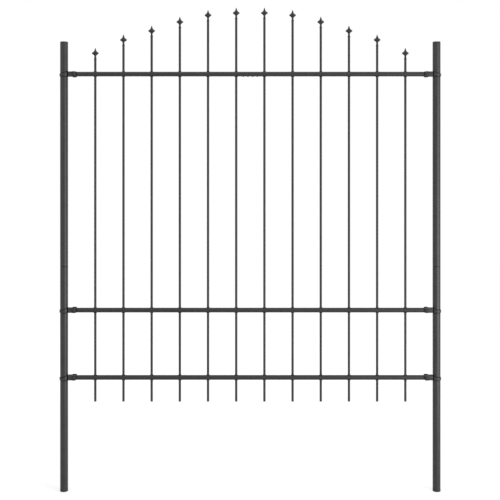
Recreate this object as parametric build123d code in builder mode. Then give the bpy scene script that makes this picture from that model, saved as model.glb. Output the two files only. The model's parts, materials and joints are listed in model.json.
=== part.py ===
from build123d import *
import os
from math import sqrt

# Garden fence bay: two round two-section posts, three round rails, twelve round pickets in an
# arched row with spear finials, and six strap clamps. The front faces -Y, +X runs to the right
# post, and the origin is on the flat underside of the left post's foot plug.

# Posts
post_spacing = 1665.0
post_diameter = 35.0
post_wall = 1.5
lower_section_length = 992.0
upper_section_length = 1000.0
post_spigot_length = 60.0
post_spigot_clearance = 0.15
post_shoulder_length = 6.0
post_edge_chamfer = 1.0
plug_insert_length = 14.0
plug_insert_clearance = 0.1
foot_plug_thickness = 12.0
foot_plug_chamfer = 0.8
top_cap_thickness = 3.0
top_cap_chamfer = 1.0

# Rails, as heights of their axes
rail_diameter = 21.0
rail_wall = 1.2
rail_end_gap = 3.0
bottom_rail_height = 507.0
middle_rail_rise = 301.0
top_rail_rise = 1055.0

# Pickets, and how far each pair from the middle outwards stops below the tallest
picket_count = 12
picket_pitch = 126.0
picket_diameter = 10.5
picket_wall = 1.0
picket_drop_below_rail = 107.0
picket_rise_above_rail = 246.0
arch_drops = [0.0, 10.0, 40.0, 80.0, 120.0, 180.0]
picket_hole_clearance = 0.1

# Spear finials. Heights are from the line of the arms, and the flatness of the spear and of the arms
# is their thickness as a share of their width.
collar_diameter = 12.0
collar_height = 5.0
collar_chamfer = 0.6
neck_diameter = 8.8
shoulder_rise = 3.0
arm_height = 27.0
spear_width = 11.2
spear_flatness = 0.8
spear_shoulder = 9.0
spear_tip_rise = 24.0
spear_tip_width = 1.2
arm_span = 30.0
arm_end_height = 3.8
arm_flatness = 0.5
spigot_length = 12.0
spigot_clearance = 0.1
spigot_sides = 8

# Strap clamps and their bolts
strap_thickness = 2.5
strap_clearance = 0.1
band_height = 12.0
band_drop = 4.0
neck_height = 21.2
ear_width = 22.0
front_ear_height = 23.0
back_ear_height = 27.0
ear_corner_radius = 6.0
ear_distance = 45.0
ear_clearance = 0.1
bend_radius = 1.2
bend_tolerance = 0.01
bolt_diameter = 8.0
bolt_hole_clearance = 0.2
bolt_head_diameter = 16.0
bolt_head_height = 4.2
bolt_end_length = 2.5
nut_across_flats = 13.0
nut_thickness = 6.5
nut_bore_clearance = 0.05

post_radius = post_diameter / 2
post_bore_radius = post_radius - post_wall
post_base = foot_plug_thickness
post_seam = post_base + lower_section_length
post_top = post_seam + upper_section_length
rail_radius = rail_diameter / 2
rail_start = post_radius + rail_end_gap
rail_length = post_spacing - 2 * rail_start
rail_heights = {
    "bottom": bottom_rail_height,
    "middle": bottom_rail_height + middle_rail_rise,
    "top": bottom_rail_height + middle_rail_rise + top_rail_rise,
}
picket_radius = picket_diameter / 2
picket_bottom = rail_heights["bottom"] - picket_drop_below_rail
picket_highest = rail_heights["top"] + picket_rise_above_rail
first_picket = post_spacing / 2 - picket_pitch * (picket_count - 1) / 2
picket_places = [first_picket + picket_pitch * i for i in range(picket_count)]
ear_gap = rail_diameter + 2 * ear_clearance
ear_face = ear_gap / 2 + strap_thickness
band_inner = post_radius + strap_clearance
band_outer = band_inner + strap_thickness
posts = {"left": (0.0, 1), "right": (post_spacing, -1)}


def picket_top(index):
    pair = int(abs(index - (picket_count - 1) / 2))
    return picket_highest - arch_drops[min(pair, len(arch_drops) - 1)]


# Lower post section: a tube whose upper end is swaged to a spigot that the upper section slides over
def lower_post(post_x):
    spigot_radius = post_bore_radius - post_spigot_clearance
    spigot_bore = spigot_radius - post_wall
    with BuildPart() as post:
        with BuildSketch(Plane.XZ):
            with BuildLine():
                Polyline(
                    (post_x + post_bore_radius, post_base),
                    (post_x + post_radius, post_base),
                    (post_x + post_radius, post_seam - post_edge_chamfer),
                    (post_x + post_radius - post_edge_chamfer, post_seam),
                    (post_x + spigot_radius, post_seam),
                    (post_x + spigot_radius, post_seam + post_spigot_length),
                    (post_x + spigot_bore, post_seam + post_spigot_length),
                    (post_x + spigot_bore, post_seam - post_wall),
                    (post_x + post_bore_radius, post_seam - post_wall - post_shoulder_length),
                    close=True,
                )
            make_face()
        revolve(axis=Axis((post_x, 0, 0), (0, 0, 1)))
    return post


# Upper post section: a plain tube with its lower edge broken, so that a fine groove shows at the seam
def upper_post(post_x):
    with BuildPart() as post:
        with BuildSketch(Plane.XZ):
            with BuildLine():
                Polyline(
                    (post_x + post_bore_radius, post_seam),
                    (post_x + post_radius - post_edge_chamfer, post_seam),
                    (post_x + post_radius, post_seam + post_edge_chamfer),
                    (post_x + post_radius, post_top),
                    (post_x + post_bore_radius, post_top),
                    close=True,
                )
            make_face()
        revolve(axis=Axis((post_x, 0, 0), (0, 0, 1)))
    return post


# A moulded plug: a head as wide as the tube, with its outer edge broken, and an insert in the bore
def tube_plug(post_x, seat, outwards, head_thickness, edge_chamfer):
    insert_radius = post_bore_radius - plug_insert_clearance
    with BuildPart() as plug:
        with BuildSketch(Plane.XZ):
            with BuildLine():
                Polyline(
                    (post_x, seat - outwards * plug_insert_length),
                    (post_x + insert_radius, seat - outwards * plug_insert_length),
                    (post_x + insert_radius, seat),
                    (post_x + post_radius, seat),
                    (post_x + post_radius, seat + outwards * (head_thickness - edge_chamfer)),
                    (post_x + post_radius - edge_chamfer, seat + outwards * head_thickness),
                    (post_x, seat + outwards * head_thickness),
                    close=True,
                )
            make_face()
        revolve(axis=Axis((post_x, 0, 0), (0, 0, 1)))
    return plug


# Rail: a round tube bored through for every picket and for the clamp bolt near each end
def rail(height):
    with BuildPart() as tube:
        with BuildSketch(Plane.YZ.offset(rail_start)):
            with Locations((0, height)):
                Circle(rail_radius)
                Circle(rail_radius - rail_wall, mode=Mode.SUBTRACT)
        extrude(amount=rail_length)
        with BuildSketch(Plane.XY.offset(height)):
            with Locations([(place, 0) for place in picket_places]):
                Circle(picket_radius + picket_hole_clearance)
        extrude(amount=rail_diameter, both=True, mode=Mode.SUBTRACT)
        with BuildSketch(Plane.XZ):
            with Locations([(x + side * ear_distance, height) for x, side in posts.values()]):
                Circle(bolt_diameter / 2 + bolt_hole_clearance)
        extrude(amount=rail_diameter, both=True, mode=Mode.SUBTRACT)
    return tube


def picket(place, top):
    with BuildPart() as bar:
        with BuildSketch(Plane.XY.offset(picket_bottom)):
            with Locations((place, 0)):
                Circle(picket_radius)
                Circle(picket_radius - picket_wall, mode=Mode.SUBTRACT)
        extrude(amount=top - picket_bottom)
    return bar


# Spear finial: a cast spearhead of diamond section with two side arms, on a round neck and collar that
# stand on the picket, and a ribbed spigot driven into it
def finial(place, base):
    arm_line = base + arm_height
    neck_end = arm_line - spear_shoulder
    collar_end = base + collar_height
    tall_sections = [
        (neck_end - shoulder_rise, neck_diameter),
        (neck_end, spear_width),
        (arm_line + spear_shoulder, spear_width),
        (arm_line + spear_tip_rise, spear_tip_width),
    ]
    wide_sections = [
        (place - arm_span / 2, arm_end_height),
        (place - spear_width / 2, 2 * spear_shoulder),
        (place + spear_width / 2, 2 * spear_shoulder),
        (place + arm_span / 2, arm_end_height),
    ]
    with BuildPart() as spear:
        with BuildSketch(Plane.XY.offset(base)):
            with Locations((place, 0)):
                RegularPolygon(picket_radius - picket_wall - spigot_clearance, spigot_sides)
        extrude(amount=-spigot_length)
        with BuildSketch(Plane.XZ):
            with BuildLine():
                Polyline(
                    (place, base),
                    (place + collar_diameter / 2 - collar_chamfer, base),
                    (place + collar_diameter / 2, base + collar_chamfer),
                    (place + collar_diameter / 2, collar_end - collar_chamfer),
                    (place + collar_diameter / 2 - collar_chamfer, collar_end),
                    (place + neck_diameter / 2, collar_end),
                    (place + neck_diameter / 2, neck_end - shoulder_rise),
                    (place, neck_end),
                    close=True,
                )
            make_face()
        revolve(axis=Axis((place, 0, 0), (0, 0, 1)))
        for level, width in tall_sections:
            with BuildSketch(Plane.XY.offset(level)):
                with BuildLine():
                    Polyline(
                        (place - width / 2, 0),
                        (place, -spear_flatness * width / 2),
                        (place + width / 2, 0),
                        (place, spear_flatness * width / 2),
                        close=True,
                    )
                make_face()
        loft(ruled=True)
        for reach, height in wide_sections:
            with BuildSketch(Plane.YZ.offset(reach)):
                with BuildLine():
                    Polyline(
                        (-arm_flatness * height / 2, arm_line),
                        (0, arm_line - height / 2),
                        (arm_flatness * height / 2, arm_line),
                        (0, arm_line + height / 2),
                        close=True,
                    )
                make_face()
        loft(ruled=True)
    return spear


# One half of a strap clamp, cut from its plan by its outline as seen from the front. The outline is a
# band on the post's far side, which widens to the neck beside the post and the ear over the rail.
def clamp_half(post_x, side, height, face, ear_height):
    reach = ear_distance + ear_width / 2
    plan_width = 2 * (reach + band_outer)
    bends = [
        (sqrt(band_outer ** 2 - ear_face ** 2), bend_radius),
        (sqrt(band_inner ** 2 - (ear_gap / 2) ** 2), bend_radius + strap_thickness),
    ]
    ear_x = post_x + side * ear_distance
    neck_x = post_x + side * post_radius
    far_x = post_x - side * plan_width
    band_low = height - band_drop - band_height / 2
    band_high = height - band_drop + band_height / 2
    with BuildPart() as half:
        with BuildSketch(Plane.XY.offset(height)) as plan:
            with Locations((post_x, 0)):
                Circle(band_outer)
            with Locations((post_x + side * reach / 2, 0)):
                Rectangle(reach, 2 * ear_face)
            with Locations((post_x, 0)):
                Circle(band_inner, mode=Mode.SUBTRACT)
            with Locations((post_x + side * reach / 2, 0)):
                Rectangle(reach, ear_gap, mode=Mode.SUBTRACT)
            for bend_x, radius in bends:
                corner_x = post_x + side * bend_x
                corners = plan.vertices().filter_by_position(
                    Axis.X, corner_x - bend_tolerance, corner_x + bend_tolerance)
                fillet(corners, radius=radius)
            with Locations((post_x, -face * plan_width / 2)):
                Rectangle(plan_width, plan_width, mode=Mode.SUBTRACT)
        extrude(amount=ear_height, both=True)
        with BuildSketch(Plane.XZ):
            with BuildLine():
                Polyline(
                    (far_x, band_low),
                    (post_x, band_low),
                    (neck_x, height - neck_height / 2),
                    (ear_x, height - neck_height / 2),
                    (ear_x, height + neck_height / 2),
                    (neck_x, height + neck_height / 2),
                    (post_x, band_high),
                    (far_x, band_high),
                    close=True,
                )
            make_face()
            with Locations((ear_x, height)):
                RectangleRounded(ear_width, ear_height, ear_corner_radius)
                Circle(bolt_diameter / 2 + bolt_hole_clearance, mode=Mode.SUBTRACT)
        extrude(amount=2 * band_outer, both=True, mode=Mode.INTERSECT)
    return half


# Strap clamp: a band round the post's front, far side and back, bent out to a smaller ear in front of
# the rail and a larger one behind it
def clamp(post_x, side, height):
    front = clamp_half(post_x, side, height, -1, front_ear_height)
    back = clamp_half(post_x, side, height, 1, back_ear_height)
    with BuildPart() as strap:
        add(front.part)
        add(back.part)
    return strap


# Round-headed bolts through the ears and the rail, each with a hexagon nut behind
def clamp_bolts(post_x, side):
    bolt_x = post_x + side * ear_distance
    bolt_radius = bolt_diameter / 2
    bolt_end = ear_face + nut_thickness + bolt_end_length
    with BuildPart() as bolts:
        for height in rail_heights.values():
            with BuildSketch(Plane.XY.offset(height)):
                with BuildLine():
                    Polyline(
                        (bolt_x, -ear_face - bolt_head_height),
                        (bolt_x, bolt_end),
                        (bolt_x + bolt_radius, bolt_end),
                        (bolt_x + bolt_radius, -ear_face),
                        (bolt_x + bolt_head_diameter / 2, -ear_face),
                    )
                    RadiusArc(
                        (bolt_x + bolt_head_diameter / 2, -ear_face),
                        (bolt_x, -ear_face - bolt_head_height),
                        (bolt_head_diameter ** 2 / 4 + bolt_head_height ** 2) / (2 * bolt_head_height),
                    )
                make_face()
            revolve(axis=Axis((bolt_x, 0, height), (0, 1, 0)))
            with BuildSketch(Plane.XZ.offset(-ear_face)):
                with Locations((bolt_x, height)):
                    RegularPolygon(nut_across_flats / 2, 6, major_radius=False)
                    Circle(bolt_radius + nut_bore_clearance, mode=Mode.SUBTRACT)
            extrude(amount=-nut_thickness)
    return bolts


os.makedirs("parts", exist_ok=True)

for post_name, (x, side) in posts.items():
    lower = lower_post(x)
    lower.part.label = f"{post_name}_post_lower"
    export_step(lower.part, f"parts/{post_name}_post_lower.step")
    upper = upper_post(x)
    upper.part.label = f"{post_name}_post_upper"
    export_step(upper.part, f"parts/{post_name}_post_upper.step")
    cap = tube_plug(x, post_top, 1, top_cap_thickness, top_cap_chamfer)
    cap.part.label = f"{post_name}_post_cap"
    export_step(cap.part, f"parts/{post_name}_post_cap.step")
    plug = tube_plug(x, post_base, -1, foot_plug_thickness, foot_plug_chamfer)
    plug.part.label = f"{post_name}_foot_plug"
    export_step(plug.part, f"parts/{post_name}_foot_plug.step")
    bolts = clamp_bolts(x, side)
    bolts.part.label = f"{post_name}_clamp_bolts"
    export_step(bolts.part, f"parts/{post_name}_clamp_bolts.step")
    for level, height in rail_heights.items():
        strap = clamp(x, side, height)
        strap.part.label = f"{post_name}_{level}_clamp"
        export_step(strap.part, f"parts/{post_name}_{level}_clamp.step")

for level, height in rail_heights.items():
    tube = rail(height)
    tube.part.label = f"{level}_rail"
    export_step(tube.part, f"parts/{level}_rail.step")

for index, place in enumerate(picket_places):
    bar = picket(place, picket_top(index))
    bar.part.label = f"picket_{index + 1:02d}"
    export_step(bar.part, f"parts/picket_{index + 1:02d}.step")
    spear = finial(place, picket_top(index))
    spear.part.label = f"finial_{index + 1:02d}"
    export_step(spear.part, f"parts/finial_{index + 1:02d}.step")
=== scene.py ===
import bpy
import bmesh
import json
import math
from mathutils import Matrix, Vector


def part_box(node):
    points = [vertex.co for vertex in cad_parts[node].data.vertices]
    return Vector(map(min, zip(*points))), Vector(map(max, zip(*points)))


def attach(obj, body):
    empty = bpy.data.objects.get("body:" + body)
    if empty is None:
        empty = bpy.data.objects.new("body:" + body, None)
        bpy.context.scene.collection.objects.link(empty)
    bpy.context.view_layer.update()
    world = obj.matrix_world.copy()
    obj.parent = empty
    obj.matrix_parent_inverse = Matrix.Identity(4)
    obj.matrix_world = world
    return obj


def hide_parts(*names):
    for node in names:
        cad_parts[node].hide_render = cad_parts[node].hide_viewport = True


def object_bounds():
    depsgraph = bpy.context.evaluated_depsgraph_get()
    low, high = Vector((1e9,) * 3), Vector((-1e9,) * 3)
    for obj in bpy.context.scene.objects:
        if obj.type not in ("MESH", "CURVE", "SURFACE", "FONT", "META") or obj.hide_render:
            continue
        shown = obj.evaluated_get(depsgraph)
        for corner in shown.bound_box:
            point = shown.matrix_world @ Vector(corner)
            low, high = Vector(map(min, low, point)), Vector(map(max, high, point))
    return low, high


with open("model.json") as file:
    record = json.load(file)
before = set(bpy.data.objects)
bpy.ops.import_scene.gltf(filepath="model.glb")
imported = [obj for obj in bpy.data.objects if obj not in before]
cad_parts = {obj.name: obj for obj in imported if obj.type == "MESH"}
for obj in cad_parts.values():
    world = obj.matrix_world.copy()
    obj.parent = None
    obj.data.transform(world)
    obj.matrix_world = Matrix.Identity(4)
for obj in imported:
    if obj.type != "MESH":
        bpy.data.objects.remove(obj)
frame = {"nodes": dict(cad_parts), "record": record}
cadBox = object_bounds()
scene = bpy.context.scene
mm = 0.001
print("frame loaded:", len(frame["nodes"]), "nodes")


def hexColour(code):
    channels = [int(code[i:i + 2], 16) / 255 for i in (1, 3, 5)]
    linear = [c / 12.92 if c <= 0.04045 else ((c + 0.055) / 1.055) ** 2.4 for c in channels]
    return (*linear, 1.0)


def addNode(tree, kind, settings=None, values=None, links=None):
    node = tree.nodes.new(kind)
    for name, value in (settings or {}).items():
        setattr(node, name, value)
    for socket, value in (values or {}).items():
        node.inputs[socket].default_value = value
    for socket, source in (links or {}).items():
        tree.links.new(source, node.inputs[socket])
    return node


def emptyMaterial(name):
    material = bpy.data.materials.new(name)
    material.use_nodes = True
    material.node_tree.nodes.clear()
    return material, material.node_tree


def boxOf(nodeName):
    low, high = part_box(nodeName)
    return Vector(low), Vector(high)


# Polyester powder coat on steel, sprayed and baked: a black that looks dark grey, because its satin
# skin mirrors the pale room, and goes truly dark only in corners. Near by, orange peel about 1.5 mm
# across breaks up the highlights, and tone and gloss drift with the coat's thickness. The baked skin
# rounds over sharp edges. Tight corners get painted shade: an ambient-occlusion mask pulls colour
# and gloss down there. The cast finials keep the coarser skin of their sand mould under the coat.
coats = {  # sizes and depths in mm
    "post": {"darkColour": "#1A1A1A", "paleColour": "#303030", "driftSize": 45, "peelSize": 1.7,
             "peelStrength": 0.8, "peelDepth": 0.2, "edgeRadius": 0.3, "roughness": 0.42},
    "panel": {"darkColour": "#101010", "paleColour": "#242424", "driftSize": 30, "peelSize": 1.5,
              "peelStrength": 0.8, "peelDepth": 0.2, "edgeRadius": 0.4, "roughness": 0.5},
    "clamp": {"darkColour": "#1A1A1A", "paleColour": "#2E2E2E", "driftSize": 18, "peelSize": 1.3,
              "peelStrength": 0.8, "peelDepth": 0.16, "edgeRadius": 0.6, "roughness": 0.44},
    "casting": {"darkColour": "#131313", "paleColour": "#272727", "driftSize": 9, "peelSize": 2.2,
                "peelStrength": 0.9, "peelDepth": 0.3, "edgeRadius": 0.5, "roughness": 0.55},
}
coatSkin = {  # shared by all four
    "driftDetail": 7.0, "driftRoughness": 0.66, "darkBelow": 0.3, "paleAbove": 0.7,
    "peelDetail": 2.0, "peelRoughness": 0.45, "glossier": 0.07, "duller": 0.08, "ior": 1.5,
    # the corner entries set the painted shade: its reach, mask range, shade colour and gloss
    "paintedShadeReach": 6.0, "paintedShadeClosed": 0.78, "paintedShadeOpen": 0.96, "paintedShadeColour": "#0A0A0A",
    "paintedShadeGloss": 0.08, "openGloss": 0.5, "paintedShadeSamples": 12, "edgeSamples": 6,
}


def powderCoat(name, recipe):
    material, tree = emptyMaterial(name)
    place = addNode(tree, "ShaderNodeTexCoord")
    drift = addNode(tree, "ShaderNodeTexNoise",
                    values={"Scale": 1 / (recipe["driftSize"] * mm), "Detail": recipe["driftDetail"],
                            "Roughness": recipe["driftRoughness"]},
                    links={"Vector": place.outputs["Object"]})
    tone = addNode(tree, "ShaderNodeValToRGB", links={"Fac": drift.outputs["Fac"]})
    tone.color_ramp.elements[0].position = recipe["darkBelow"]
    tone.color_ramp.elements[0].color = hexColour(recipe["darkColour"])
    tone.color_ramp.elements[1].position = recipe["paleAbove"]
    tone.color_ramp.elements[1].color = hexColour(recipe["paleColour"])
    peel = addNode(tree, "ShaderNodeTexNoise",
                   values={"Scale": 1 / (recipe["peelSize"] * mm), "Detail": recipe["peelDetail"],
                           "Roughness": recipe["peelRoughness"]},
                   links={"Vector": place.outputs["Object"]})
    # painted shade: ambient occlusion finds the corners and creases that the shade is painted into
    openness = addNode(tree, "ShaderNodeAmbientOcclusion", settings={"samples": recipe["paintedShadeSamples"]},
                       values={"Distance": recipe["paintedShadeReach"] * mm})
    unshadedShare = addNode(tree, "ShaderNodeMapRange",
                       values={"From Min": recipe["paintedShadeClosed"], "From Max": recipe["paintedShadeOpen"]},
                       links={"Value": openness.outputs["AO"]})
    # painted shade: the tone is mixed towards near-black where the mask finds a corner
    colour = addNode(tree, "ShaderNodeMix", settings={"data_type": "RGBA"},
                     values={"A": hexColour(recipe["paintedShadeColour"])},
                     links={"Factor": unshadedShare.outputs["Result"], "B": tone.outputs["Color"]})
    # painted shade: the specular level falls in the same corners
    gloss = addNode(tree, "ShaderNodeMapRange",
                    values={"To Min": recipe["paintedShadeGloss"], "To Max": recipe["openGloss"]},
                    links={"Value": unshadedShare.outputs["Result"]})
    rough = addNode(tree, "ShaderNodeMapRange",
                    values={"To Min": recipe["roughness"] - recipe["glossier"],
                            "To Max": recipe["roughness"] + recipe["duller"]},
                    links={"Value": drift.outputs["Fac"]})
    roundEdge = addNode(tree, "ShaderNodeBevel", settings={"samples": recipe["edgeSamples"]},
                        values={"Radius": recipe["edgeRadius"] * mm})
    bump = addNode(tree, "ShaderNodeBump",
                   values={"Strength": recipe["peelStrength"], "Distance": recipe["peelDepth"] * mm},
                   links={"Height": peel.outputs["Fac"], "Normal": roundEdge.outputs["Normal"]})
    shader = addNode(tree, "ShaderNodeBsdfPrincipled", values={"Metallic": 0.0, "IOR": recipe["ior"]},
                     links={"Base Color": colour.outputs["Result"], "Roughness": rough.outputs["Result"],
                            "Specular IOR Level": gloss.outputs["Result"],
                            "Normal": bump.outputs["Normal"]})
    addNode(tree, "ShaderNodeOutputMaterial", links={"Surface": shader.outputs["BSDF"]})
    return material


postCoat, panelCoat, clampCoat, castingCoat = [
    powderCoat(name + "PowderCoat", {**coatSkin, **recipe}) for name, recipe in coats.items()]


# Moulded low-density polyethylene plugs: softer and flatter than the coat, with a faint pebbled grain
plugLook = {"darkColour": "#1B1B1B", "paleColour": "#212121", "flowSize": 12, "flowDetail": 2.0,
            "grainSize": 0.8, "grainStrength": 0.3, "grainDepth": 0.04, "roughness": 0.55, "ior": 1.51}


def mouldedPlug(name, recipe):
    material, tree = emptyMaterial(name)
    place = addNode(tree, "ShaderNodeTexCoord")
    grain = addNode(tree, "ShaderNodeTexVoronoi", values={"Scale": 1 / (recipe["grainSize"] * mm)},
                    links={"Vector": place.outputs["Object"]})
    flow = addNode(tree, "ShaderNodeTexNoise",
                   values={"Scale": 1 / (recipe["flowSize"] * mm), "Detail": recipe["flowDetail"]},
                   links={"Vector": place.outputs["Object"]})
    tone = addNode(tree, "ShaderNodeMix", settings={"data_type": "RGBA"},
                   values={"A": hexColour(recipe["darkColour"]), "B": hexColour(recipe["paleColour"])},
                   links={"Factor": flow.outputs["Fac"]})
    bump = addNode(tree, "ShaderNodeBump",
                   values={"Strength": recipe["grainStrength"], "Distance": recipe["grainDepth"] * mm},
                   links={"Height": grain.outputs["Distance"]})
    shader = addNode(tree, "ShaderNodeBsdfPrincipled",
                     values={"Metallic": 0.0, "Roughness": recipe["roughness"], "IOR": recipe["ior"]},
                     links={"Base Color": tone.outputs["Result"], "Normal": bump.outputs["Normal"]})
    addNode(tree, "ShaderNodeOutputMaterial", links={"Surface": shader.outputs["BSDF"]})
    return material


plugMaterial = mouldedPlug("plugPolyethylene", plugLook)


# Black-oxide steel for bolts and nuts: dark, slightly oily, with turning marks about 0.4 mm apart
boltLook = {"darkColour": "#2A2A2B", "paleColour": "#383839", "stainSize": 6, "stainDetail": 4.0,
            "markSpacing": 0.4, "markWander": 3.0, "markStrength": 0.15, "markDepth": 0.02,
            "metallic": 0.6, "roughness": 0.36, "glossier": 0.06, "duller": 0.1}
waveSpacing = math.pi / 10  # between a wave texture's bands at scale 1


def blackOxide(name, recipe):
    material, tree = emptyMaterial(name)
    place = addNode(tree, "ShaderNodeTexCoord")
    stain = addNode(tree, "ShaderNodeTexNoise",
                    values={"Scale": 1 / (recipe["stainSize"] * mm), "Detail": recipe["stainDetail"]},
                    links={"Vector": place.outputs["Object"]})
    marks = addNode(tree, "ShaderNodeTexWave", settings={"bands_direction": "Z"},
                    values={"Scale": waveSpacing / (recipe["markSpacing"] * mm),
                            "Distortion": recipe["markWander"]},
                    links={"Vector": place.outputs["Object"]})
    tone = addNode(tree, "ShaderNodeMix", settings={"data_type": "RGBA"},
                   values={"A": hexColour(recipe["darkColour"]), "B": hexColour(recipe["paleColour"])},
                   links={"Factor": stain.outputs["Fac"]})
    rough = addNode(tree, "ShaderNodeMapRange",
                    values={"To Min": recipe["roughness"] - recipe["glossier"],
                            "To Max": recipe["roughness"] + recipe["duller"]},
                    links={"Value": stain.outputs["Fac"]})
    bump = addNode(tree, "ShaderNodeBump",
                   values={"Strength": recipe["markStrength"], "Distance": recipe["markDepth"] * mm},
                   links={"Height": marks.outputs["Fac"]})
    shader = addNode(tree, "ShaderNodeBsdfPrincipled", values={"Metallic": recipe["metallic"]},
                     links={"Base Color": tone.outputs["Result"], "Roughness": rough.outputs["Result"],
                            "Normal": bump.outputs["Normal"]})
    addNode(tree, "ShaderNodeOutputMaterial", links={"Surface": shader.outputs["BSDF"]})
    return material


boltMaterial = blackOxide("boltBlackOxide", boltLook)

slotMaterials = {"post_steel": postCoat, "panel_steel": panelCoat, "clamp_steel": clampCoat,
                 "bolt_steel": boltMaterial, "plug_plastic": plugMaterial}
for entry in frame["record"]["subparts"]:
    cadNode = frame["nodes"][entry["node"]]
    for materialSlot in cadNode.material_slots:
        materialSlot.material = slotMaterials[entry["material_slot"]]
        if entry["node"].startswith("finial_"):
            materialSlot.material = castingCoat
print("materials made and given to the frame's nodes")


def finishPiece(piece):
    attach(piece, "root")


# Turns a geometry node tree's result into a plain mesh object with no modifier
def bakeNodes(name, tree, inputs, points=()):
    holder = bpy.data.objects.new(name + "Maker", bpy.data.meshes.new(name + "Maker"))
    holder.data.from_pydata(points, [], [])
    scene.collection.objects.link(holder)
    modifier = holder.modifiers.new("nodes", "NODES")
    modifier.node_group = tree
    for item in tree.interface.items_tree:
        if item.item_type == "SOCKET" and item.in_out == "INPUT" and item.name in inputs:
            modifier[item.identifier] = inputs[item.name]
    graph = bpy.context.evaluated_depsgraph_get()
    mesh = bpy.data.meshes.new_from_object(holder.evaluated_get(graph), depsgraph=graph)
    mesh.name = name
    bpy.data.objects.remove(holder)
    piece = bpy.data.objects.new(name, mesh)
    scene.collection.objects.link(piece)
    return piece


def bridge(shape, first, second):
    for i in range(len(first)):
        j = (i + 1) % len(first)
        shape.faces.new((first[i], first[j], second[j], second[i]))


sharpFrom = 35  # degrees between faces, from which their edge stays sharp


def smoothObject(name, shape, material):
    bmesh.ops.recalc_face_normals(shape, faces=shape.faces)
    mesh = bpy.data.meshes.new(name)
    shape.to_mesh(mesh)
    shape.free()
    mesh.materials.append(material)
    mesh.shade_smooth()
    mesh.set_sharp_from_angle(angle=math.radians(sharpFrom))
    made = bpy.data.objects.new(name, mesh)
    scene.collection.objects.link(made)
    return made


# Fillet welds where the pickets pass through a round rail. Each bead follows the line in which the
# two tubes meet, once above the rail and once below. Sizes in mm.
weld = {"beadRadius": 1.7, "standOff": 0.5, "ripple": 0.35, "rippleSize": 2.2, "rippleDetail": 1.0,
        "aroundCount": 24, "beadSides": 8}


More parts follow.
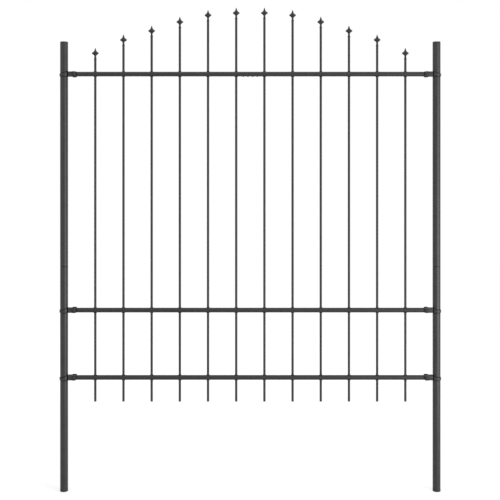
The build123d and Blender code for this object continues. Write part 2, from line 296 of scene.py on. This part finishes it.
def weldTree(material):
    tree = bpy.data.node_groups.new("railWelds", "GeometryNodeTree")
    tree.interface.new_socket("Geometry", in_out="INPUT", socket_type="NodeSocketGeometry")
    for name in ("First Picket", "Pitch", "Rail Height", "Rail Radius", "Picket Radius", "Bead Radius",
                 "Stand Off", "Ripple", "Ripple Size"):
        tree.interface.new_socket(name, in_out="INPUT", socket_type="NodeSocketFloat")
    for name in ("Picket Count", "Around Count", "Bead Sides"):
        tree.interface.new_socket(name, in_out="INPUT", socket_type="NodeSocketInt")
    tree.interface.new_socket("Geometry", in_out="OUTPUT", socket_type="NodeSocketGeometry")
    given = addNode(tree, "NodeGroupInput").outputs
    # a ring of bead round the picket
    ringRadius = addNode(tree, "ShaderNodeMath", settings={"operation": "ADD"},
                         links={0: given["Picket Radius"], 1: given["Stand Off"]})
    ring = addNode(tree, "GeometryNodeCurvePrimitiveCircle",
                   links={"Resolution": given["Around Count"], "Radius": ringRadius.outputs[0]})
    section = addNode(tree, "GeometryNodeCurvePrimitiveCircle",
                      links={"Resolution": given["Bead Sides"], "Radius": given["Bead Radius"]})
    bead = addNode(tree, "GeometryNodeCurveToMesh",
                   links={"Curve": ring.outputs["Curve"], "Profile Curve": section.outputs["Curve"]})
    # lifted on to the round rail: its height at a distance y from the rail's axis is sqrt(r * r - y * y)
    position = addNode(tree, "GeometryNodeInputPosition")
    spot = addNode(tree, "ShaderNodeSeparateXYZ", links={"Vector": position.outputs[0]})
    acrossSquare = addNode(tree, "ShaderNodeMath", settings={"operation": "MULTIPLY"},
                           links={0: spot.outputs["Y"], 1: spot.outputs["Y"]})
    railSquare = addNode(tree, "ShaderNodeMath", settings={"operation": "MULTIPLY"},
                         links={0: given["Rail Radius"], 1: given["Rail Radius"]})
    crownSquare = addNode(tree, "ShaderNodeMath", settings={"operation": "SUBTRACT"},
                          links={0: railSquare.outputs[0], 1: acrossSquare.outputs[0]})
    crown = addNode(tree, "ShaderNodeMath", settings={"operation": "SQRT"},
                    links={0: crownSquare.outputs[0]})
    lift = addNode(tree, "ShaderNodeMath", settings={"operation": "ADD"},
                   links={0: crown.outputs[0], 1: given["Stand Off"]})
    saddle = addNode(tree, "ShaderNodeCombineXYZ", links={"Z": lift.outputs[0]})
    above = addNode(tree, "GeometryNodeSetPosition",
                    links={"Geometry": bead.outputs["Mesh"], "Offset": saddle.outputs[0]})
    below = addNode(tree, "GeometryNodeTransform", values={"Rotation": (math.pi, 0.0, 0.0)},
                    links={"Geometry": above.outputs["Geometry"]})
    pair = addNode(tree, "GeometryNodeJoinGeometry")
    tree.links.new(above.outputs["Geometry"], pair.inputs[0])
    tree.links.new(below.outputs["Geometry"], pair.inputs[0])
    # one pair at each picket
    start = addNode(tree, "ShaderNodeCombineXYZ",
                    links={"X": given["First Picket"], "Z": given["Rail Height"]})
    step = addNode(tree, "ShaderNodeCombineXYZ", links={"X": given["Pitch"]})
    row = addNode(tree, "GeometryNodeMeshLine",
                  links={"Count": given["Picket Count"], "Start Location": start.outputs[0],
                         "Offset": step.outputs[0]})
    crossings = addNode(tree, "GeometryNodeInstanceOnPoints",
                        links={"Points": row.outputs["Mesh"], "Instance": pair.outputs[0]})
    solid = addNode(tree, "GeometryNodeRealizeInstances",
                    links={"Geometry": crossings.outputs["Instances"]})
    # the welder's ripples, which differ from bead to bead
    rippleScale = addNode(tree, "ShaderNodeMath", settings={"operation": "DIVIDE"}, values={0: 1.0},
                          links={1: given["Ripple Size"]})
    ripples = addNode(tree, "ShaderNodeTexNoise", values={"Detail": weld["rippleDetail"]},
                      links={"Scale": rippleScale.outputs[0]})
    centred = addNode(tree, "ShaderNodeMath", settings={"operation": "SUBTRACT"}, values={1: 0.5},
                      links={0: ripples.outputs["Fac"]})
    swell = addNode(tree, "ShaderNodeMath", settings={"operation": "MULTIPLY"},
                    links={0: centred.outputs[0], 1: given["Ripple"]})
    outwards = addNode(tree, "GeometryNodeInputNormal")
    push = addNode(tree, "ShaderNodeVectorMath", settings={"operation": "SCALE"},
                   links={"Vector": outwards.outputs[0], "Scale": swell.outputs[0]})
    rippled = addNode(tree, "GeometryNodeSetPosition",
                      links={"Geometry": solid.outputs["Geometry"], "Offset": push.outputs[0]})
    smooth = addNode(tree, "GeometryNodeSetShadeSmooth", links={"Geometry": rippled.outputs["Geometry"]})
    coated = addNode(tree, "GeometryNodeSetMaterial", values={"Material": material},
                     links={"Geometry": smooth.outputs["Geometry"]})
    addNode(tree, "NodeGroupOutput", links={0: coated.outputs["Geometry"]})
    return tree


picketNames = sorted(name for name in frame["nodes"] if name.startswith("picket_"))
picketBoxes = [boxOf(name) for name in picketNames]
picketAxes = [(low.x + high.x) / 2 for low, high in picketBoxes]
picketRadius = (picketBoxes[0][1].x - picketBoxes[0][0].x) / 2
railLevels = ("bottom", "middle", "top")
railBoxes = [boxOf(level + "_rail") for level in railLevels]
railHeights = [(low.z + high.z) / 2 for low, high in railBoxes]
railRadius = (railBoxes[0][1].z - railBoxes[0][0].z) / 2
beadTree = weldTree(panelCoat)
for level, height in zip(railLevels, railHeights):
    welds = bakeNodes(level + "RailWelds", beadTree, {
        "First Picket": picketAxes[0], "Pitch": (picketAxes[-1] - picketAxes[0]) / (len(picketAxes) - 1),
        "Rail Height": height, "Rail Radius": railRadius,
        "Picket Radius": picketRadius, "Bead Radius": weld["beadRadius"] * mm,
        "Stand Off": weld["standOff"] * mm, "Ripple": weld["ripple"] * mm,
        "Ripple Size": weld["rippleSize"] * mm, "Picket Count": len(picketAxes),
        "Around Count": weld["aroundCount"], "Bead Sides": weld["beadSides"]})
    finishPiece(welds)
print("rail welds made")


# Four tack welds left under the top rail's middle: low domes of bead about 9 mm long, with uneven
# outlines. Sizes in mm.
tack = {"offsets": (-31.4, -10.4, 10.4, 31.4), "halfLength": 4.5, "halfWidth": 2.6, "proud": 1.8,
        "sunk": 0.6, "rings": 6, "segments": 20, "ripple": 0.25, "lobes": 3, "twist": 2}


def makeTacks(name, railLow, railHigh):
    middle = (railLow.x + railHigh.x) / 2
    seat = railLow.z + tack["sunk"] * mm
    drop = (tack["proud"] + tack["sunk"]) * mm
    halfLength = tack["halfLength"] * mm
    halfWidth = tack["halfWidth"] * mm
    shape = bmesh.new()
    for order, offset in enumerate(tack["offsets"]):
        rims = []
        for ring in range(tack["rings"]):
            lean = math.pi / 2 * ring / tack["rings"]
            rim = []
            for segment in range(tack["segments"]):
                turn = 2 * math.pi * segment / tack["segments"]
                wave = math.sin(tack["lobes"] * turn + tack["twist"] * ring + order)
                swell = (1 + tack["ripple"] / tack["halfWidth"] * wave) * math.cos(lean)
                rim.append(shape.verts.new((middle + offset * mm + halfLength * math.cos(turn) * swell,
                                            halfWidth * math.sin(turn) * swell,
                                            seat - drop * math.sin(lean))))
            rims.append(rim)
        tip = shape.verts.new((middle + offset * mm, 0.0, seat - drop))
        for outer, inner in zip(rims, rims[1:]):
            bridge(shape, outer, inner)
        for i in range(tack["segments"]):
            shape.faces.new((rims[-1][i], tip, rims[-1][(i + 1) % tack["segments"]]))
        shape.faces.new(rims[0])
    finishPiece(smoothObject(name, shape, panelCoat))


makeTacks("topRailTacks", *railBoxes[-1])
print("tack welds made")


# Strap clamps bent from flat bar. The bolt draws the strap round the post until it folds into the gap
# beside the rail's end, a cleft that the coat's painted shade makes darker, and then it turns out to
# the flat ears. Sizes in mm.
strap = {"clearance": 0.1, "bandHeight": 12.0, "bandDrop": 4.0, "neckHeight": 21.2, "earWidth": 22.0,
         "frontEarHeight": 23.0, "backEarHeight": 27.0, "earCorner": 6.0, "edgeRadius": 0.6,
         "hugAngle": 30, "foldRadius": 1.35, "foldAngle": 75, "earBendRadius": 1.7, "leastStep": 0.01,
         "arcSteps": 24, "bendSteps": 8, "neckSteps": 4, "cornerSteps": 7, "edgeSteps": 3}


# Half of the strap's middle line in plan, from the far side of the post to the ear's tip, in mm from
# the post's axis: along the rail, away from the rail's axis, and the heading
def strapLine(radius, earLevel, reach):
    hug = math.radians(strap["hugAngle"])
    line = []
    for i in range(strap["arcSteps"] + 1):
        angle = math.pi - (math.pi - hug) * i / strap["arcSteps"]
        line.append((radius * math.cos(angle), radius * math.sin(angle), angle - math.pi / 2))
    along, away, heading = line[-1]
    bend = strap["foldRadius"]
    middle = (along - bend * math.sin(heading), away + bend * math.cos(heading))
    steep = math.radians(strap["foldAngle"])
    for i in range(1, strap["bendSteps"] + 1):
        turn = heading + (steep - heading) * i / strap["bendSteps"]
        line.append((middle[0] + bend * math.sin(turn), middle[1] - bend * math.cos(turn), turn))
    along, away, heading = line[-1]
    bend = strap["earBendRadius"]
    rise = (earLevel - away - bend * (1 - math.cos(steep))) / math.sin(steep)
    middle = (along + rise * math.cos(steep) + bend * math.sin(steep), earLevel - bend)
    for i in range(strap["bendSteps"] + 1):
        turn = steep * (1 - i / strap["bendSteps"])
        line.append((middle[0] - bend * math.sin(turn), middle[1] + bend * math.cos(turn), turn))
    neckEnd = reach - strap["earWidth"]
    corner = strap["earCorner"]
    stops = [middle[0] + (neckEnd - middle[0]) * i / strap["neckSteps"]
             for i in range(1, strap["neckSteps"] + 1)]
    for start in (neckEnd, reach - corner):
        for i in range(strap["cornerSteps"] + 1):
            lean = math.pi / 2 * i / strap["cornerSteps"]
            share = math.sin(lean) if start > neckEnd else 1 - math.cos(lean)
            stops.append(start + corner * share)
    for stop in stops:
        if stop > line[-1][0] + strap["leastStep"]:
            line.append((stop, earLevel, 0.0))
    return line


# Lowest and highest point of the strap at a place along the rail
def strapLimits(along, postRadius, reach, earHeight):
    low = -strap["bandDrop"] - strap["bandHeight"] / 2
    high = -strap["bandDrop"] + strap["bandHeight"] / 2
    neck = strap["neckHeight"] / 2
    if along < postRadius:
        share = max(0.0, along / postRadius)
        return low + (-neck - low) * share, high + (neck - high) * share
    centre = reach - strap["earWidth"] / 2
    corner = strap["earCorner"]
    past = min(corner, max(0.0, abs(along - centre) - strap["earWidth"] / 2 + corner))
    ear = earHeight / 2 - corner + math.sqrt(corner ** 2 - past ** 2)
    half = max(neck, ear) if along < centre else ear
    return -half, half


def makeStrap(nodeName, pieceName, side, postRadius, height):
    low, high = boxOf(nodeName)
    thickness = (high.y - low.y) / 2 / mm - postRadius - strap["clearance"]
    reach = (high.x - low.x) / mm - postRadius - strap["clearance"] - thickness
    postX = (low.x if side > 0 else high.x) + side * (high.y - low.y) / 2
    line = strapLine(postRadius + strap["clearance"] + thickness / 2,
                     railRadius / mm + strap["clearance"] + thickness / 2, reach)
    # the bar's section, with rounded corners: across the bar, top or bottom edge, and height over it
    edge = strap["edgeRadius"]
    corners = []
    for quarter, (across, upward) in enumerate(((1, 1), (-1, 1), (-1, -1), (1, -1))):
        for i in range(strap["edgeSteps"] + 1):
            turn = math.pi / 2 * (quarter + i / strap["edgeSteps"])
            corners.append((across * (thickness / 2 - edge) + edge * math.cos(turn), upward,
                            edge * (math.sin(turn) - upward)))
    shape = bmesh.new()
    loops = []
    for face, earHeight, stations in ((-1, strap["frontEarHeight"], line[::-1]),
                                      (1, strap["backEarHeight"], line[1:])):
        for along, away, heading in stations:
            floor, ceiling = strapLimits(along, postRadius, reach, earHeight)
            loop = []
            for across, upward, lift in corners:
                level = (ceiling if upward > 0 else floor) + lift
                loop.append(shape.verts.new((
                    postX + side * (along - across * math.sin(heading)) * mm,
                    face * (away + across * math.cos(heading)) * mm, height + level * mm)))
            loops.append(loop)
    for first, second in zip(loops, loops[1:]):
        bridge(shape, first, second)
    shape.faces.new(loops[0])
    shape.faces.new(loops[-1])
    piece = smoothObject(pieceName, shape, clampCoat)
    finishPiece(piece)
    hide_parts(nodeName)


# Round-headed M8 bolts through the ears, each with a chamfered hexagon nut behind and a cut thread end.
# One bolt is made about the y axis, and a node tree sets it at each rail. Sizes in mm.
bolt = {"shank": 8.0, "headHeight": 4.2, "rim": 0.7, "headFlat": 0.35, "endLength": 2.5, "nutFlats": 13.0,
        "nutThickness": 6.5, "nutChamferAngle": 30, "threadPitch": 1.25, "threadDepth": 0.65,
        "inset": 0.02, "segments": 60, "domeSteps": 9, "threadSteps": 24}


def ringAt(shape, along, radiusAt):
    ring = []
    for i in range(bolt["segments"]):
        turn = 2 * math.pi * i / bolt["segments"]
        radius, shift = radiusAt(turn)
        ring.append(shape.verts.new((radius * math.sin(turn), along + shift, radius * math.cos(turn))))
    return ring


def addHead(shape, earFace, headRadius):
    height = bolt["headHeight"] * mm
    rim = bolt["rim"] * mm
    flat = bolt["headFlat"] * mm
    dome = height - rim
    sphere = (headRadius ** 2 + dome ** 2) / (2 * dome)
    rings = [ringAt(shape, -earFace, lambda turn: (headRadius - flat, 0.0)),
             ringAt(shape, -earFace - flat, lambda turn: (headRadius, 0.0)),
             ringAt(shape, -earFace - rim, lambda turn: (headRadius, 0.0))]
    steepest = math.asin(headRadius / sphere)
    for step in range(1, bolt["domeSteps"]):
        lean = steepest * (1 - step / bolt["domeSteps"])
        level = -earFace - height + sphere * (1 - math.cos(lean))
        rings.append(ringAt(shape, level, lambda turn: (sphere * math.sin(lean), 0.0)))
    for first, second in zip(rings, rings[1:]):
        bridge(shape, first, second)
    tip = shape.verts.new((0.0, -earFace - height, 0.0))
    last = rings[-1]
    for i in range(len(last)):
        shape.faces.new((last[i], last[(i + 1) % len(last)], tip))
    shape.faces.new(rings[0])


# The flats run to chamfers where a 30 degree cone cuts the corners away
def addNut(shape, near, far):
    apothem = bolt["nutFlats"] / 2 * mm
    slope = math.tan(math.radians(bolt["nutChamferAngle"]))
    bore = bolt["shank"] / 2 * mm

    def flats(turn):
        return apothem / math.cos((turn + math.pi / 6) % (math.pi / 3) - math.pi / 6)

    rings = [ringAt(shape, near, lambda turn: (bore, 0.0)),
             ringAt(shape, near, lambda turn: (apothem, 0.0)),
             ringAt(shape, near, lambda turn: (flats(turn), (flats(turn) - apothem) * slope)),
             ringAt(shape, far, lambda turn: (flats(turn), (apothem - flats(turn)) * slope)),
             ringAt(shape, far, lambda turn: (apothem, 0.0)),
             ringAt(shape, far, lambda turn: (bore, 0.0))]
    for first, second in zip(rings, rings[1:] + rings[:1]):
        bridge(shape, first, second)


# The shank starts inside the head. Past the nut its radius follows a helix.
def addShank(shape, earFace, nutFar, end):
    radius = bolt["shank"] / 2 * mm
    depth = bolt["threadDepth"] * mm
    pitch = bolt["threadPitch"] * mm
    inset = bolt["inset"] * mm

    def thread(along):
        taper = max(0.0, along - (end - depth))

        def radiusAt(turn):
            groove = abs(((along - turn / (2 * math.pi) * pitch) / pitch) % 1.0 * 2 - 1)
            return radius - inset - max(depth * groove, taper), 0.0
        return radiusAt

    rings = [ringAt(shape, -earFace - inset, lambda turn: (radius - inset, 0.0)),
             ringAt(shape, nutFar - inset, lambda turn: (radius - inset, 0.0))]
    for step in range(bolt["threadSteps"] + 1):
        along = nutFar + (end - nutFar) * step / bolt["threadSteps"]
        rings.append(ringAt(shape, along, thread(along)))
    for first, second in zip(rings, rings[1:]):
        bridge(shape, first, second)
    shape.faces.new(rings[0])
    shape.faces.new(rings[-1])


def boltTree(material):
    tree = bpy.data.node_groups.new("clampBolts", "GeometryNodeTree")
    tree.interface.new_socket("Geometry", in_out="INPUT", socket_type="NodeSocketGeometry")
    tree.interface.new_socket("Bolt", in_out="INPUT", socket_type="NodeSocketObject")
    tree.interface.new_socket("Geometry", in_out="OUTPUT", socket_type="NodeSocketGeometry")
    given = addNode(tree, "NodeGroupInput").outputs
    model = addNode(tree, "GeometryNodeObjectInfo", links={"Object": given["Bolt"]})
    placed = addNode(tree, "GeometryNodeInstanceOnPoints",
                     links={"Points": given["Geometry"], "Instance": model.outputs["Geometry"]})
    solid = addNode(tree, "GeometryNodeRealizeInstances",
                    links={"Geometry": placed.outputs["Instances"]})
    finished = addNode(tree, "GeometryNodeSetMaterial", values={"Material": material},
                       links={"Geometry": solid.outputs["Geometry"]})
    addNode(tree, "NodeGroupOutput", links={0: finished.outputs["Geometry"]})
    return tree


def makeBolts(nodeName, pieceName, tree):
    low, high = boxOf(nodeName)
    earFace = -low.y - bolt["headHeight"] * mm
    nutFar = high.y - bolt["endLength"] * mm
    shape = bmesh.new()
    addHead(shape, earFace, (high.x - low.x) / 2)
    addNut(shape, nutFar - bolt["nutThickness"] * mm, nutFar)
    addShank(shape, earFace, nutFar, high.y)
    model = smoothObject(pieceName + "Model", shape, boltMaterial)
    places = [((low.x + high.x) / 2, 0.0, height) for height in railHeights]
    piece = bakeNodes(pieceName, tree, {"Bolt": model}, places)
    bpy.data.objects.remove(model)
    finishPiece(piece)
    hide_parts(nodeName)


nutTree = boltTree(boltMaterial)
for hand, side in (("left", 1), ("right", -1)):
    low, high = boxOf(hand + "_post_upper")
    for level, height in zip(railLevels, railHeights):
        makeStrap(hand + "_" + level + "_clamp", hand + level.capitalize() + "Strap", side,
                  (high.x - low.x) / 2 / mm, height)
    makeBolts(hand + "_clamp_bolts", hand + "Bolts", nutTree)
print("strap clamps and bolts made")


# Pale studio: a white backdrop that only rays of sight, gloss and transmission see, and a floor that
# takes the shadows near the fence and glows up to the backdrop's white farther off. Sizes in metres.
studio = {"floorSize": 14.0, "floorGlow": 0.6, "farGlow": 0.68, "glowFrom": 1.3, "glowTo": 2.6,
          "floorColour": "#D0D0D0", "bounceColour": "#7A7A7A", "ambient": 0.5}
lamps = {
    "keySoftbox": {"place": (3.9, -2.9, 1.2), "target": (0.83, 0.0, 1.0), "size": (2.2, 2.3),
                   "watts": 72.0},
    "lowSoftbox": {"place": (3.4, -2.5, 0.25), "target": (0.83, 0.0, 0.1), "size": (1.4, 0.4),
                   "watts": 20.0},
    "fillSoftbox": {"place": (-3.4, -3.0, 2.2), "target": (0.83, 0.0, 1.1), "size": (2.0, 2.4),
                    "watts": 10.0},
    "topSoftbox": {"place": (0.83, -0.6, 4.6), "target": (0.83, 0.0, 0.6), "size": (3.2, 2.0),
                   "watts": 34.0},
}


def seenWhite(tree):
    path = addNode(tree, "ShaderNodeLightPath")
    seen = addNode(tree, "ShaderNodeMath", settings={"operation": "MAXIMUM"},
                   links={0: path.outputs["Is Camera Ray"], 1: path.outputs["Is Glossy Ray"]})
    return addNode(tree, "ShaderNodeMath", settings={"operation": "MAXIMUM"},
                   links={0: seen.outputs[0], 1: path.outputs["Is Transmission Ray"]}).outputs[0]


def makeWorld():
    world = bpy.data.worlds.new("studioWorld")
    scene.world = world
    world.use_nodes = True
    tree = world.node_tree
    tree.nodes.clear()
    ambient = addNode(tree, "ShaderNodeBackground",
                      values={"Color": hexColour("#FFFFFF"), "Strength": studio["ambient"]})
    white = addNode(tree, "ShaderNodeBackground", values={"Color": hexColour("#FFFFFF"), "Strength": 1.0})
    mix = addNode(tree, "ShaderNodeMixShader",
                  links={0: seenWhite(tree), 1: ambient.outputs[0], 2: white.outputs[0]})
    addNode(tree, "ShaderNodeOutputWorld", links={"Surface": mix.outputs[0]})


def makeFloor():
    centre = (cadBox[0] + cadBox[1]) / 2
    half = studio["floorSize"] / 2
    mesh = bpy.data.meshes.new("studioFloor")
    corners = [(centre.x + sx * half, sy * half, 0.0) for sx, sy in ((-1, -1), (1, -1), (1, 1), (-1, 1))]
    mesh.from_pydata(corners, [], [(0, 1, 2, 3)])
    floor = bpy.data.objects.new("studioFloor", mesh)
    scene.collection.objects.link(floor)
    material, tree = emptyMaterial("studioFloorPaint")
    matte = addNode(tree, "ShaderNodeBsdfDiffuse", values={"Color": hexColour(studio["floorColour"])})
    bounce = addNode(tree, "ShaderNodeBsdfDiffuse", values={"Color": hexColour(studio["bounceColour"])})
    place = addNode(tree, "ShaderNodeTexCoord")
    away = addNode(tree, "ShaderNodeVectorMath", settings={"operation": "DISTANCE"},
                   values={1: (centre.x, 0.0, 0.0)}, links={0: place.outputs["Object"]})
    fade = addNode(tree, "ShaderNodeMapRange",
                   values={"From Min": studio["glowFrom"], "From Max": studio["glowTo"],
                           "To Min": studio["floorGlow"], "To Max": studio["farGlow"]},
                   links={"Value": away.outputs["Value"]})
    glow = addNode(tree, "ShaderNodeEmission", values={"Color": hexColour("#FFFFFF")},
                   links={"Strength": fade.outputs["Result"]})
    lit = addNode(tree, "ShaderNodeAddShader", links={0: matte.outputs[0], 1: glow.outputs[0]})
    mix = addNode(tree, "ShaderNodeMixShader",
                  links={0: seenWhite(tree), 1: bounce.outputs[0], 2: lit.outputs[0]})
    addNode(tree, "ShaderNodeOutputMaterial", links={"Surface": mix.outputs[0]})
    mesh.materials.append(material)


def makeLamp(name, recipe):
    light = bpy.data.lights.new(name, "AREA")
    light.shape = "RECTANGLE"
    light.size, light.size_y = recipe["size"]
    light.energy = recipe["watts"]
    lamp = bpy.data.objects.new(name, light)
    lamp.location = recipe["place"]
    lamp.rotation_mode = "QUATERNION"
    aim = Vector(recipe["target"]) - Vector(recipe["place"])
    lamp.rotation_quaternion = aim.to_track_quat("-Z", "Y")
    scene.collection.objects.link(lamp)


# The photograph's camera: level, square to the fence, lowered on the film by a small shift. The lens
# follows from the scale wanted at the fence. Lengths in metres, the sensor in mm.
camera = {"distance": 3.9, "height": 1.39, "pixelsPerMetre": 223.68, "frameWidth": 500,
          "centreHeight": 1.0766, "centreOffset": -0.0014, "sensorWidth": 36.0, "farClip": 60.0}


def makeCamera():
    data = bpy.data.cameras.new("photoCamera")
    data.sensor_width = camera["sensorWidth"]
    metresToFrames = camera["pixelsPerMetre"] / camera["frameWidth"]
    data.lens = camera["distance"] * metresToFrames * data.sensor_width
    data.shift_y = (camera["centreHeight"] - camera["height"]) * metresToFrames
    data.clip_end = camera["farClip"]
    rig = bpy.data.objects.new("photoCamera", data)
    middle = (cadBox[0].x + cadBox[1].x) / 2
    rig.location = (middle + camera["centreOffset"], -camera["distance"], camera["height"])
    rig.rotation_euler = (math.pi / 2, 0.0, 0.0)
    scene.collection.objects.link(rig)
    scene.camera = rig


makeWorld()
makeFloor()
for lampName, recipe in lamps.items():
    makeLamp(lampName, recipe)
makeCamera()
scene.view_settings.view_transform = "Standard"
print("studio, lamps and camera placed")
